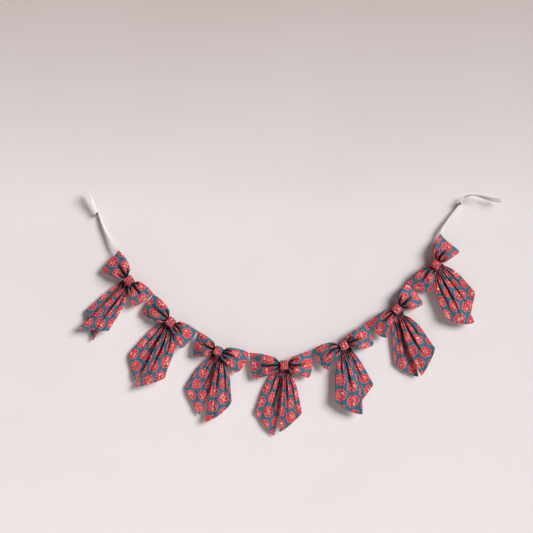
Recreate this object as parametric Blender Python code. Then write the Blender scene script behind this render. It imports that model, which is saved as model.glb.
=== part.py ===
"""A garland of seven printed cotton bows, sewn corner to corner and hung by two tapes from two nails.

Lengths are in millimetres until a mesh is made, which turns them into metres. Places on the wall are
(across, up) from the left nail. Stand-off is the distance out from the wall, which is the plane y = 0.
The garland faces -Y, with +X to the right and +Z up.
"""

import math
from collections import namedtuple

import bmesh
import bpy
from mathutils import Vector

MM = 0.001

# Cloth: each strip is two layers of cotton, sewn right sides together and turned
STRIP_THICK = 2.2
PIECE_GAP = 0.3
HALF_THICK = STRIP_THICK / 2

# Where the upper corners of neighbouring bows are sewn together, and the two outer corners at the tapes
Corner = namedtuple("Corner", "across up")
SEWN_CORNERS = [
    Corner(48, -81),
    Corner(124, -176),
    Corner(221, -257),
    Corner(335, -304),
    Corner(469, -299),
    Corner(590, -240),
    Corner(679, -152),
    Corner(751, -45),
]
CORNER_STAND = 16
CORNER_GAP = 0.5

# Each bow: its knot's centre, and from there the lower corners of its left and right loops
Bow = namedtuple("Bow", "across up left_low right_low")
BOWS = [
    Bow(70, -146, (-62, 22), (10, -59)),
    Bow(161, -237, (-64, 19), (23, -60)),
    Bow(265, -300, (-57, -11), (41, -50)),
    Bow(409, -331, (-65, -32), (58, -29)),
    Bow(539, -288, (-36, -56), (68, 0)),
    Bow(656, -209, (-24, -65), (60, 12)),
    Bow(740, -111, (-8, -60), (56, 29)),
]

# Each loop: its low corner's stand-off, how far its upper, lower and end edges bulge, its puff out from
# the wall, and its crease, with the place across the loop that it runs to, its depth and its reach
Loop = namedtuple(
    "Loop",
    "bow side low_stand top_bulge low_bulge end_bulge puff crease_to crease_deep crease_reach",
)
LOOPS = [
    Loop(1, "left", 15, 9.0, 3.0, 1.0, 4.5, 0.05, 5.5, 0.75),
    Loop(1, "right", 19, 6.5, 5.0, 2.0, 4.0, -0.10, 5.0, 0.80),
    Loop(2, "left", 12, 8.0, 5.5, 2.0, 4.0, 0.10, 4.5, 0.90),
    Loop(2, "right", 19, 5.5, 1.5, 2.0, 4.5, -0.15, 5.0, 0.60),
    Loop(3, "left", 14, 4.5, 5.5, 2.0, 4.0, 0.10, 4.5, 0.80),
    Loop(3, "right", 17, 5.5, 3.0, 4.0, 5.0, 0.05, 4.5, 0.70),
    Loop(4, "left", 15, 6.0, 3.5, 3.0, 5.0, -0.05, 5.0, 0.85),
    Loop(4, "right", 13, 4.0, 4.5, 2.5, 4.5, -0.05, 5.0, 0.75),
    Loop(5, "left", 18, 8.0, -1.0, 3.0, 5.0, -0.20, 4.5, 0.80),
    Loop(5, "right", 14, 5.0, 7.0, 2.0, 4.0, 0.10, 5.0, 0.70),
    Loop(6, "left", 18, 5.5, -2.5, 4.0, 4.5, 0.05, 5.0, 0.70),
    Loop(6, "right", 13, 8.5, 6.0, 1.5, 4.0, -0.10, 5.5, 0.80),
    Loop(7, "left", 13, 7.5, -3.0, 5.0, 4.0, 0.10, 5.0, 0.75),
    Loop(7, "right", 15, 10.0, 3.0, -1.5, 4.5, -0.10, 5.5, 0.80),
]
LOOP_COLUMNS = 7
LOOP_ROWS = 4
LOOP_SPREAD = 1.3
LOOP_EDGE_EARLY = 0.8
PUFF_EARLY = 0.7
PUFF_ENDS = 0.91
PUFF_FLATNESS = 4
BACK_PUFF = 0.45
CREASE_WIDTH = 0.22
CREASE_SHARPNESS = 1.5
CREASE_FULL_BY = 0.12

# The pinched middle of a bow, and the knot band that goes round it
BOW_STAND = 18.5
PINCH_HALF_HIGH = 9.8
PINCH_HALF_DEEP = 5.8
KNOT_HALF_WIDE = 11
KNOT_HOLE_HALF_HIGH = 10.3
KNOT_HOLE_HALF_DEEP = 6.2
KNOT_THICK = 2.0
KNOT_BULGE = 1.3
KNOT_SIDES = 16
KNOT_SQUARENESS = 3.0
KNOT_EDGE = 0.95
KNOT_SWELLS_FROM = -0.4

# Each tail: its gathered neck, the outer corner and the tip of its slanting end, all from the knot's
# centre; how far its outer, inner and end edges bulge; and whether it hangs in front of the other tail
Tail = namedtuple("Tail", "bow side neck corner tip outer_bulge inner_bulge end_bulge in_front")
TAILS = [
    Tail(1, "left", (-16, -7), (-97, -65), (-81, -133), 1.0, 5, 0.0, False),
    Tail(1, "right", (-5, -17), (-44, -112), (-110, -106), 5.5, 2, 0.0, True),
    Tail(2, "left", (-17, -4), (-91, -67), (-78, -130), 3.0, 11, 3.0, False),
    Tail(2, "right", (-5, -13), (-11, -123), (-76, -143), 14.0, 2, 1.5, True),
    Tail(3, "left", (-12, -14), (-74, -80), (-42, -142), 5.0, 11, 1.0, False),
    Tail(3, "right", (6, -16), (31, -111), (-28, -157), 6.0, 4, 6.0, True),
    Tail(4, "left", (-14, -14), (-64, -104), (-23, -158), 6.0, 12, 0.0, False),
    Tail(4, "right", (6, -14), (41, -104), (-9, -148), 5.0, 3, 2.0, True),
    Tail(5, "left", (-2, -16), (-20, -121), (41, -152), 5.0, 12, 6.0, True),
    Tail(5, "right", (14, -13), (68, -87), (27, -140), 3.0, 8, 0.0, False),
    Tail(6, "left", (-6, -17), (-5, -120), (48, -150), 2.0, 12, 3.0, False),
    Tail(6, "right", (11, -14), (85, -85), (55, -146), 8.0, 8, 2.0, True),
    Tail(7, "left", (5, -16), (19, -112), (86, -128), 10.0, 7, 9.0, True),
    Tail(7, "right", (17, -6), (90, -60), (75, -124), 6.0, 6, 0.0, False),
]

# Each tail's two folds, a and b: the place across its width that each runs from and to, counted from its
# outer edge, and its reach down the tail; and how far the tail's outer corner and its tip stand forward
Folds = namedtuple("Folds", "bow side a_from a_to a_reach b_from b_to b_reach corner_out tip_out")
TAIL_FOLDS = [
    Folds(1, "left", 0.35, 0.30, 0.7, 0.70, 0.66, 0.9, 1, -1),
    Folds(1, "right", 0.30, 0.22, 0.6, 0.62, 0.45, 1.0, 2, 1),
    Folds(2, "left", 0.32, 0.30, 0.8, 0.68, 0.62, 0.9, -1, 1),
    Folds(2, "right", 0.30, 0.35, 0.6, 0.66, 0.72, 0.9, 3, 0),
    Folds(3, "left", 0.38, 0.42, 0.5, 0.70, 0.60, 0.8, -1, 1),
    Folds(3, "right", 0.30, 0.25, 0.9, 0.70, 0.75, 0.6, 2, -1),
    Folds(4, "left", 0.34, 0.30, 0.6, 0.70, 0.55, 0.9, 0, 0),
    Folds(4, "right", 0.30, 0.24, 0.8, 0.68, 0.60, 0.6, 2, 1),
    Folds(5, "left", 0.30, 0.25, 0.5, 0.62, 0.60, 0.8, 2, 1),
    Folds(5, "right", 0.36, 0.36, 0.8, 0.70, 0.70, 0.9, -1, 0),
    Folds(6, "left", 0.34, 0.32, 0.9, 0.66, 0.60, 0.8, -1, 0),
    Folds(6, "right", 0.32, 0.28, 0.7, 0.66, 0.50, 0.9, 2, 1),
    Folds(7, "left", 0.28, 0.30, 0.8, 0.64, 0.60, 0.9, 2, 1),
    Folds(7, "right", 0.34, 0.32, 0.8, 0.68, 0.64, 0.9, -1, 1),
]
TAIL_ROWS = 8
TAIL_SPREAD = 1.25
FOLD_STEPS = (3, 4, 3)
ARCH_STEPS = 6
ARCH_RISE = 13
NECK_HALF_WIDE = 4.4
NECK_FOLD_DEEP = 4.5
FOLD_WIDTH = 0.13
FOLD_SHARPNESS = 1.4
FOLD_FADE = 0.8
REAR_STAND = 8.8
FRONT_STAND = 17.2
FRONT_RISE_BY = 0.12

# Tapes and nails
TAPE_THICK = 1.0
TAPE_WIDE = 10
TAPE_WIDE_AT_NAIL = 7
NAIL_RADIUS = 1.2
NAIL_HEAD_RADIUS = 2.4
NAIL_HEAD_THICK = 1.0
NAIL_HEAD_BEVEL = 0.4
NAIL_STAND = 19
NAIL_SIDES = 16
TURN_STEPS = 12
TURN_STAND_IN = 4.6
TURN_STAND_OUT = 12.6
TAPE_STEPS = 4

# Each tape's run from the bow to the nail, then its free end: the tape's middle, its stand-off,
# its width, and its turn, which is 0 where it faces out from the wall and 90 where it is edge-on
Station = namedtuple("Station", "across up stand wide turn")
LEFT_RUN = [
    Station(47, -90, 13.2, TAPE_WIDE, 0),
    Station(42.5, -81, 13.8, TAPE_WIDE, 0),
    Station(33, -68, 13.0, TAPE_WIDE, 15),
    Station(21, -46, 10.0, 9.5, 30),
    Station(10, -24, 7.0, 8.5, 55),
]
LEFT_END = [
    Station(-5, 14, 15.0, 9.0, 40),
    Station(-10, 26, 18.0, TAPE_WIDE, 50),
    Station(-13, 38, 21.0, TAPE_WIDE, 75),
    Station(-19, 49, 24.0, TAPE_WIDE, 85),
]
RIGHT_RUN = [
    Station(754, -53, 13.4, TAPE_WIDE, 0),
    Station(754, -43, 14.0, TAPE_WIDE, 10),
    Station(759, -31, 13.0, 9.5, 45),
    Station(770, -14, 10.0, 9.0, 55),
    Station(783, 6, 7.0, 8.0, 75),
]
RIGHT_END = [
    Station(802, 34, 15.0, 8.5, 60),
    Station(811, 39, 17.0, 9.0, 65),
    Station(823, 41, 19.0, TAPE_WIDE, 85),
    Station(841, 37, 20.0, TAPE_WIDE, 60),
    Station(862, 32, 20.0, TAPE_WIDE, 35),
    Station(884, 29, 19.0, TAPE_WIDE, 20),
]
NAILS = {"left": Corner(0, 0), "right": Corner(794, 22)}


def mix(a, b, share):
    return a + (b - a) * share


def smooth(share):
    """0 to 1, leaving and arriving level."""
    share = min(max(share, 0.0), 1.0)
    return share * share * (3 - 2 * share)


def early_bow(share):
    """0 at both ends and 1 a third of the way along."""
    return 27 / 4 * share * (1 - share) ** 2


def even_bow(share):
    """0 at both ends and 1 halfway."""
    return 4 * share * (1 - share)


def peak(offset, width, sharpness):
    """1 at no offset, falling away on both sides."""
    return math.exp(-(abs(offset / width) ** sharpness))


def on_wall(flat, stand):
    """A point in metres, from its place on the wall and its stand-off."""
    return Vector((flat.x, -stand, flat.y)) * MM


def side_of(direction):
    """The direction a quarter turn to the left of this one, on the wall."""
    return Vector((-direction.y, direction.x))


def cloth_material(name, colour, roughness, metallic=0.0):
    material = bpy.data.materials.get(name) or bpy.data.materials.new(name)
    material.use_nodes = True
    shader = material.node_tree.nodes["Principled BSDF"]
    shader.inputs["Base Color"].default_value = (*colour, 1.0)
    shader.inputs["Roughness"].default_value = roughness
    shader.inputs["Metallic"].default_value = metallic
    material.diffuse_color = (*colour, 1.0)
    return material


def closed_mesh(name, points, faces, material, sharp_angle=50):
    """One closed piece from its points in metres and its faces, facing out and shaded smooth."""
    mesh = bpy.data.meshes.new(name)
    mesh.from_pydata(points, [], faces)
    shell = bmesh.new()
    shell.from_mesh(mesh)
    bmesh.ops.recalc_face_normals(shell, faces=shell.faces)
    bmesh.ops.triangulate(shell, faces=shell.faces)
    shell.to_mesh(mesh)
    shell.free()
    mesh.shade_smooth()
    mesh.set_sharp_from_angle(angle=math.radians(sharp_angle))
    mesh.materials.append(material)
    piece = bpy.data.objects.new(name, mesh)
    bpy.context.scene.collection.objects.link(piece)
    return piece


def sheet_solid(name, front, back, material):
    """A sheet as one solid: its front grid, its back grid and the rim between them."""
    columns, rows = len(front), len(front[0])
    points = [point for grid in (front, back) for column in grid for point in column]

    def index(grid, column, row):
        return (grid * columns + column) * rows + row

    faces = []
    for column in range(columns - 1):
        for row in range(rows - 1):
            ring = [(column, row), (column + 1, row), (column + 1, row + 1), (column, row + 1)]
            faces.append([index(0, *corner) for corner in ring])
            faces.append([index(1, *corner) for corner in reversed(ring)])
    rim = [(column, 0) for column in range(columns - 1)]
    rim += [(columns - 1, row) for row in range(rows - 1)]
    rim += [(column, rows - 1) for column in range(columns - 1, 0, -1)]
    rim += [(0, row) for row in range(rows - 1, 0, -1)]
    for here, there in zip(rim, rim[1:] + rim[:1]):
        faces.append([index(0, *there), index(0, *here), index(1, *here), index(1, *there)])
    return closed_mesh(name, points, faces, material)


def tube_solid(name, rings, material, closed=False, sharp_angle=50):
    """A solid swept through rings of points, capped at both ends, or joined end to end where closed."""
    sides = len(rings[0])
    points = [point for ring in rings for point in ring]
    steps = len(rings) if closed else len(rings) - 1
    faces = []
    for step in range(steps):
        here = step * sides
        there = (step + 1) % len(rings) * sides
        for side in range(sides):
            beside = (side + 1) % sides
            faces.append([here + side, here + beside, there + beside, there + side])
    if not closed:
        faces.append(list(range(sides)))
        faces.append(list(range((len(rings) - 1) * sides, len(rings) * sides)))
    return closed_mesh(name, points, faces, material, sharp_angle)


def bow_axes(number):
    """A bow's knot, its direction along the bow and the one across it, and its four corners on the wall."""
    bow = BOWS[number]
    knot = Vector((bow.across, bow.up))
    towards = Vector(BOWS[min(number + 1, len(BOWS) - 1)][:2]) - Vector(BOWS[max(number - 1, 0)][:2])
    towards.normalize()
    left_up = Vector(SEWN_CORNERS[number]) + towards * CORNER_GAP / 2
    right_up = Vector(SEWN_CORNERS[number + 1]) - towards * CORNER_GAP / 2
    left_low = knot + Vector(bow.left_low)
    right_low = knot + Vector(bow.right_low)
    along = (right_up + right_low - left_up - left_low).normalized()
    return knot, along, side_of(along), {"left": (left_up, left_low), "right": (right_up, right_low)}


def loop_section(number, loop, share):
    """The cloth's front and back points up one loop, at this share of the way from the knot to its end."""
    knot, along, across, corners = bow_axes(number)
    outward = along if loop.side == "right" else -along
    up_corner, low_corner = corners[loop.side]
    pinch = knot + outward * KNOT_HALF_WIDE
    edge_bow = math.sin(math.pi * share**LOOP_EDGE_EARLY)
    top = mix(pinch + across * PINCH_HALF_HIGH, up_corner, share) + across * loop.top_bulge * edge_bow
    low = mix(pinch - across * PINCH_HALF_HIGH, low_corner, share) - across * loop.low_bulge * edge_bow
    end_out = side_of(low - top).normalized()
    if end_out.dot(outward) < 0:
        end_out.negate()
    swell = loop.puff * math.sin(math.pi * min(share / PUFF_ENDS, 1.0) ** PUFF_EARLY)
    pinched = (PINCH_HALF_DEEP - HALF_THICK) * (1 - share) ** 2
    crease_at = loop.crease_to * share
    crease_deep = loop.crease_deep * smooth(share / CREASE_FULL_BY) * smooth(1 - share / loop.crease_reach)
    places = [mix(-1, crease_at, row / LOOP_ROWS) for row in range(LOOP_ROWS)]
    places += [mix(crease_at, 1, row / LOOP_ROWS) for row in range(LOOP_ROWS + 1)]
    front, back = [], []
    for place in places:
        up_share = (place + 1) / 2
        flat = mix(low, top, up_share) + end_out * loop.end_bulge * even_bow(up_share) * share**2
        stand = mix(BOW_STAND, mix(loop.low_stand, CORNER_STAND, up_share), smooth(share))
        dome = 1 - place**PUFF_FLATNESS
        crease = crease_deep * peak(place - crease_at, CREASE_WIDTH, CREASE_SHARPNESS)
        front.append(on_wall(flat, stand + HALF_THICK + (pinched + swell) * dome - crease))
        back.append(on_wall(flat, stand - HALF_THICK - (pinched + swell * BACK_PUFF) * dome))
    return front, back


def make_loops(number, material):
    """A bow's body: the strip pinched in the middle, with a loop on each side."""
    left, right = [loop for loop in LOOPS if loop.bow == number + 1]
    shares = [(step / LOOP_COLUMNS) ** LOOP_SPREAD for step in range(LOOP_COLUMNS + 1)]
    sections = [loop_section(number, left, share) for share in reversed(shares)]
    sections += [loop_section(number, right, share) for share in shares]
    front = [section[0] for section in sections]
    back = [section[1] for section in sections]
    return sheet_solid(f"bow_{number + 1}_loops", front, back, material)


def make_knot(number, material):
    """The short band round the pinched middle, a ring that swells a little in front."""
    knot, along, across, _ = bow_axes(number)
    power = 2 / KNOT_SQUARENESS
    rings = []
    for side in range(KNOT_SIDES):
        angle = 2 * math.pi * side / KNOT_SIDES
        up = math.copysign(abs(math.cos(angle)) ** power, math.cos(angle))
        out = math.copysign(abs(math.sin(angle)) ** power, math.sin(angle))
        forward = (math.sin(angle) - KNOT_SWELLS_FROM) / (1 - KNOT_SWELLS_FROM)
        middle_thick = KNOT_THICK + KNOT_BULGE * max(0.0, forward)
        profile = [(-1, 0), (-KNOT_EDGE, KNOT_THICK), (0, middle_thick), (KNOT_EDGE, KNOT_THICK), (1, 0)]
        ring = []
        for beside, thick in profile:
            flat = knot + along * KNOT_HALF_WIDE * beside + across * up * (KNOT_HOLE_HALF_HIGH + thick)
            ring.append(on_wall(flat, BOW_STAND + out * (KNOT_HOLE_HALF_DEEP + thick)))
        rings.append(ring)
    return tube_solid(f"bow_{number + 1}_knot", rings, material, closed=True, sharp_angle=70)


def fold_places(folds, share):
    """Where the two folds lie across the tail, at this share of the way down it."""
    return mix(folds.a_from, folds.a_to, share), mix(folds.b_from, folds.b_to, share)


def fold_stations(places):
    """Places across the strip, with one on each fold."""
    marks = [0.0, *places, 1.0]
    stations = [0.0]
    for start, end, steps in zip(marks, marks[1:], FOLD_STEPS):
        stations += [mix(start, end, (step + 1) / steps) for step in range(steps)]
    return stations


def strip_section(outer, inner, stand, places, depths, out=(0.0, 0.0), end_bulge=0.0):
    """The strip's front and back points from its outer edge to its inner edge, over folds of these depths."""
    end_out = side_of(inner - outer).normalized()
    if end_out.y > 0:
        end_out.negate()
    front, back = [], []
    for across in fold_stations(places):
        flat = mix(outer, inner, across) + end_out * end_bulge * even_bow(across)
        depth = max(deep * peak(across - at, FOLD_WIDTH, FOLD_SHARPNESS) for at, deep in zip(places, depths))
        middle = stand - depth + mix(*out, across)
        front.append(on_wall(flat, middle + HALF_THICK))
        back.append(on_wall(flat, middle - HALF_THICK))
    return front, back


def tail_section(knot, tail, folds, beside, share):
    """A tail's section at this share of the way from its neck to its end; beside points to its outer edge."""
    neck = knot + Vector(tail.neck)
    corner = knot + Vector(tail.corner)
    tip = knot + Vector(tail.tip)
    outer_neck = neck + beside * NECK_HALF_WIDE
    inner_neck = neck - beside * NECK_HALF_WIDE
    turn = 1 if side_of(corner - outer_neck).dot(tip - corner) < 0 else -1
    outward = side_of(corner - outer_neck).normalized() * turn
    outer = mix(outer_neck, corner, share) + outward * tail.outer_bulge * early_bow(share)
    inner = mix(inner_neck, tip, share) - outward * tail.inner_bulge * even_bow(share)
    stand = REAR_STAND
    if tail.in_front:
        stand = mix(REAR_STAND, FRONT_STAND, smooth(share / FRONT_RISE_BY))
    reaches = (folds.a_reach, folds.b_reach)
    depths = [NECK_FOLD_DEEP * (1 - min(share / reach, 1.0)) ** FOLD_FADE for reach in reaches]
    out = (folds.corner_out * share**2, folds.tip_out * share**2)
    places = fold_places(folds, share)
    return strip_section(outer, inner, stand, places, depths, out, tail.end_bulge * share**2)


def make_tails(number, material):
    """A bow's tail strip: two gathered tails, and the arch behind the knot that joins their necks."""
    knot = bow_axes(number)[0]
    left, right = [tail for tail in TAILS if tail.bow == number + 1]
    left_folds, right_folds = [folds for folds in TAIL_FOLDS if folds.bow == number + 1]
    left_neck = knot + Vector(left.neck)
    right_neck = knot + Vector(right.neck)
    beside = (right_neck - left_neck).normalized()
    above = side_of(beside)
    half_span = (right_neck - left_neck).length / 2
    shares = [(step / TAIL_ROWS) ** TAIL_SPREAD for step in range(TAIL_ROWS + 1)]
    sections = [tail_section(knot, left, left_folds, -beside, share) for share in reversed(shares)]
    neck_places = fold_places(left_folds, 0), fold_places(right_folds, 0)
    for step in range(1, ARCH_STEPS):
        angle = math.pi * step / ARCH_STEPS
        middle = (left_neck + right_neck) / 2
        middle += above * ARCH_RISE * math.sin(angle) - beside * half_span * math.cos(angle)
        normal = above * half_span * math.sin(angle) - beside * ARCH_RISE * math.cos(angle)
        normal = normal.normalized() * NECK_HALF_WIDE
        places = [mix(before, after, step / ARCH_STEPS) for before, after in zip(*neck_places)]
        depths = (NECK_FOLD_DEEP, NECK_FOLD_DEEP)
        sections.append(strip_section(middle + normal, middle - normal, REAR_STAND, places, depths))
    sections += [tail_section(knot, right, right_folds, beside, share) for share in shares]
    front = [section[0] for section in sections]
    back = [section[1] for section in sections]
    return sheet_solid(f"bow_{number + 1}_tails", front, back, material)


def through(stations, steps):
    """Stations along a smooth curve through these ones, this many to each stretch."""
    rows = [Vector(station) for station in (stations[0], *stations, stations[-1])]
    found = []
    for before, start, end, after in zip(rows, rows[1:], rows[2:], rows[3:]):
        for step in range(steps):
            share = step / steps
            bend = (2 * before - 5 * start + 4 * end - after) * share**2
            bend += (3 * start - before - 3 * end + after) * share**3
            found.append(start + ((end - before) * share + bend) / 2)
    return found + [rows[-1]]


def make_tape(side, run, free_end, material):
    """A tape from the bow's corner, once round the nail's shank, and on to its free end."""
    nail = NAILS[side]
    radius = NAIL_RADIUS + PIECE_GAP + TAPE_THICK / 2
    arriving = Vector((nail.across - run[-1].across, nail.up - run[-1].up)).normalized()
    start_angle = math.atan2(-arriving.x, arriving.y)
    turn = []
    for step in range(TURN_STEPS + 1):
        share = step / TURN_STEPS
        angle = start_angle + 2 * math.pi * share
        turn.append(
            Station(
                nail.across + radius * math.cos(angle),
                nail.up + radius * math.sin(angle),
                mix(TURN_STAND_IN, TURN_STAND_OUT, smooth(2 * share - 0.5)),
                TAPE_WIDE_AT_NAIL,
                90,
            )
        )
    path = through([*run, turn[0]], TAPE_STEPS)[:-1] + [Vector(row) for row in turn]
    path += through([turn[-1], *free_end], TAPE_STEPS)[1:]
    middles = [Vector(row[:2]) for row in path]
    rings = []
    for step, row in enumerate(path):
        ahead = middles[min(step + 1, len(path) - 1)] - middles[max(step - 1, 0)]
        sideways = side_of(ahead.normalized())
        tilt = math.radians(row[4])
        ring = []
        for edge, face in ((-1, -1), (1, -1), (1, 1), (-1, 1)):
            wide = edge * row[3] / 2
            thick = face * TAPE_THICK / 2
            flat = middles[step] + sideways * (wide * math.cos(tilt) - thick * math.sin(tilt))
            ring.append(on_wall(flat, row[2] + wide * math.sin(tilt) + thick * math.cos(tilt)))
        rings.append(ring)
    return tube_solid(f"tape_{side}", rings, material)


def make_nail(side, material):
    """A round nail with a flat head; its end at the wall is a flat disc."""
    nail = NAILS[side]
    head_back = NAIL_STAND - NAIL_HEAD_THICK
    profile = [
        (0, NAIL_RADIUS),
        (head_back, NAIL_RADIUS),
        (head_back, NAIL_HEAD_RADIUS),
        (NAIL_STAND - NAIL_HEAD_BEVEL, NAIL_HEAD_RADIUS),
        (NAIL_STAND, NAIL_HEAD_RADIUS - NAIL_HEAD_BEVEL),
    ]
    rings = []
    for stand, radius in profile:
        ring = []
        for step in range(NAIL_SIDES):
            angle = 2 * math.pi * step / NAIL_SIDES
            flat = Vector(nail) + Vector((math.cos(angle), math.sin(angle))) * radius
            ring.append(on_wall(flat, stand))
        rings.append(ring)
    return tube_solid(f"nail_{side}", rings, material, sharp_angle=40)


for old in list(bpy.data.objects):
    bpy.data.objects.remove(old)

print_cloth = cloth_material("printed_cotton", (0.16, 0.21, 0.25), 0.85)
tape_cloth = cloth_material("cotton_tape", (0.78, 0.72, 0.68), 0.9)
nail_steel = cloth_material("nail_steel", (0.12, 0.11, 0.11), 0.4, 1.0)

for bow_number in range(len(BOWS)):
    make_loops(bow_number, print_cloth)
    make_knot(bow_number, print_cloth)
    make_tails(bow_number, print_cloth)
make_tape("left", LEFT_RUN, LEFT_END, tape_cloth)
make_tape("right", RIGHT_RUN, RIGHT_END, tape_cloth)
make_nail("left", nail_steel)
make_nail("right", nail_steel)
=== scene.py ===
"""A garland of seven printed cotton bows, sewn corner to corner and hung by two tapes from two nails.

Shapes are worked out in millimetres on the wall: (across, up) from the left nail, and the stand-off
out from the wall. Each mesh is then made in metres, facing -Y, with +X to the right and +Z up.
"""

import math
from collections import namedtuple

import bpy
import numpy as np
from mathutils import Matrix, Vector


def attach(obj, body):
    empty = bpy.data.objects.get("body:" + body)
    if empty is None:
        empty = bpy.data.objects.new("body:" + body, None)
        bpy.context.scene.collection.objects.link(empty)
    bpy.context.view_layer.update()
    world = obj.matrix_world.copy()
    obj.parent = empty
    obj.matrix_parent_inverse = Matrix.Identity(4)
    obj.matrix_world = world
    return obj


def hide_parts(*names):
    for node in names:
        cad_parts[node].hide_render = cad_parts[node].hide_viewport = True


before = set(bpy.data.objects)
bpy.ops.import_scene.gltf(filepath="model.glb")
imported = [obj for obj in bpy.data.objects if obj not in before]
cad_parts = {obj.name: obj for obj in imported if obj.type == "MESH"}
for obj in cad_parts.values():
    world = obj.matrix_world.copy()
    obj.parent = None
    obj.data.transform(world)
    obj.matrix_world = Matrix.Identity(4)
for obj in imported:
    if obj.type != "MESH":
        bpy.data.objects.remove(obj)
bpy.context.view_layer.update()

# Nails: two short steel nails with flat heads, driven into the wall. They carry the whole garland.
# Each is turned in one piece, darkened, and a little worn where the hammer met its head.

MM = 0.001
Place = namedtuple("Place", "across up")
NAILS = {"left": Place(0, 0), "right": Place(794, 22)}
NAIL_RADIUS = 1.2
NAIL_HEAD_RADIUS = 2.4
NAIL_STAND = 19.0
NAIL_SIDES = 40
NAIL_SHARP_ANGLE = math.radians(40)
WORN_PATCH_SCALE = 900
SCRATCH_SCALE = 4000


def new_piece(name, points, faces, material, flat_places=None, painted_shade_amounts=None):
    """A piece from points in millimetres, given as across, up and stand-off, shaded smooth."""
    points = np.asarray(points, dtype=float)
    mesh = bpy.data.meshes.new(name)
    placed = np.column_stack([points[:, 0], -points[:, 2], points[:, 1]]) * MM
    mesh.from_pydata(placed.tolist(), [], faces)
    mesh.shade_smooth()
    mesh.materials.append(material)
    if flat_places is not None:
        layer = mesh.uv_layers.new(name="cloth")
        corners = np.empty(len(mesh.loops), dtype=np.int32)
        mesh.loops.foreach_get("vertex_index", corners)
        layer.uv.foreach_set("vector", np.asarray(flat_places)[corners].astype(np.float32).ravel())
    # Painted shade: how far each point's colour is darkened, which the cloth's finish reads
    if painted_shade_amounts is not None:
        layer = mesh.attributes.new(name="painted_fold_shade", type="FLOAT", domain="POINT")
        layer.data.foreach_set("value", np.asarray(painted_shade_amounts, dtype=np.float32))
    piece = bpy.data.objects.new(name, mesh)
    bpy.context.scene.collection.objects.link(piece)
    return piece


def put(tree, kind, *values, **settings):
    """A new shader node, with its inputs set to these numbers or colours, or linked to these sockets."""
    node = tree.nodes.new("ShaderNode" + kind)
    for name, value in settings.items():
        setattr(node, name, value)
    for socket, value in zip(node.inputs, values):
        if isinstance(value, bpy.types.NodeSocket):
            tree.links.new(value, socket)
        elif value is not None:
            socket.default_value = value
    return node


def maths(tree, operation, a, b=0.0, c=0.0, clamp=False):
    return put(tree, "Math", a, b, c, operation=operation, use_clamp=clamp).outputs[0]


def blend_colour(tree, share, a, b):
    node = tree.nodes.new("ShaderNodeMix")
    node.data_type = "RGBA"
    for name, value in (("Factor_Float", share), ("A_Color", a), ("B_Color", b)):
        socket = next(s for s in node.inputs if s.identifier == name)
        if isinstance(value, bpy.types.NodeSocket):
            tree.links.new(value, socket)
        else:
            socket.default_value = value
    return next(s for s in node.outputs if s.identifier == "Result_Color")


def colour(red, green, blue):
    """A colour as it looks on a screen, 0 to 255, turned into light."""
    def light(part):
        part /= 255
        return part / 12.92 if part <= 0.04045 else ((part + 0.055) / 1.055) ** 2.4

    return (light(red), light(green), light(blue), 1.0)


def new_finish(name):
    """An empty material: its node tree and its shader."""
    material = bpy.data.materials.new(name)
    material.use_nodes = True
    return material, material.node_tree, material.node_tree.nodes["Principled BSDF"]


def noise(tree, place, scale, detail=2.0, distortion=0.0):
    """Soft noise over a surface: its outputs, of which the first runs from 0 to 1."""
    node = put(tree, "TexNoise", place)
    for name, value in (("Scale", scale), ("Detail", detail), ("Distortion", distortion)):
        node.inputs[name].default_value = value
    return node.outputs


def relief(tree, height, strength, distance, under=None):
    """The normal of a bump, at most this distance deep, laid over the one under it where there is one."""
    node = put(tree, "Bump")
    node.inputs["Strength"].default_value = strength
    node.inputs["Distance"].default_value = distance
    tree.links.new(height, node.inputs["Height"])
    if under is not None:
        tree.links.new(under, node.inputs["Normal"])
    return node.outputs[0]


def dress(tree, shader, tone, roughness, normal):
    """Lead a tone, a roughness and a normal into a material's shader."""
    for name, value in (("Base Color", tone), ("Roughness", roughness), ("Normal", normal)):
        tree.links.new(value, shader.inputs[name])


def darkened_steel():
    """Darkened steel with fine scratches and paler worn patches."""
    material, tree, shader = new_finish("darkened_steel")
    place = put(tree, "TexCoord").outputs["Object"]
    patches = noise(tree, place, WORN_PATCH_SCALE)[0]
    worn = maths(tree, "MULTIPLY_ADD", patches, 2.2, -0.9, clamp=True)
    tone = blend_colour(tree, worn, colour(44, 40, 40), colour(112, 106, 104))
    scratches = relief(tree, noise(tree, place, SCRATCH_SCALE)[0], 0.15, 0.0001)
    dress(tree, shader, tone, maths(tree, "MULTIPLY_ADD", worn, -0.15, 0.5), scratches)
    shader.inputs["Metallic"].default_value = 0.9
    return material


def tube_faces(rings, sides):
    """Faces of a tube through rings of points, with both ends capped."""
    faces = []
    for ring in range(rings - 1):
        for side in range(sides):
            here, beside = ring * sides + side, ring * sides + (side + 1) % sides
            faces.append((here, beside, beside + sides, here + sides))
    faces.append(tuple(reversed(range(sides))))
    faces.append(tuple(range((rings - 1) * sides, rings * sides)))
    return faces


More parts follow.
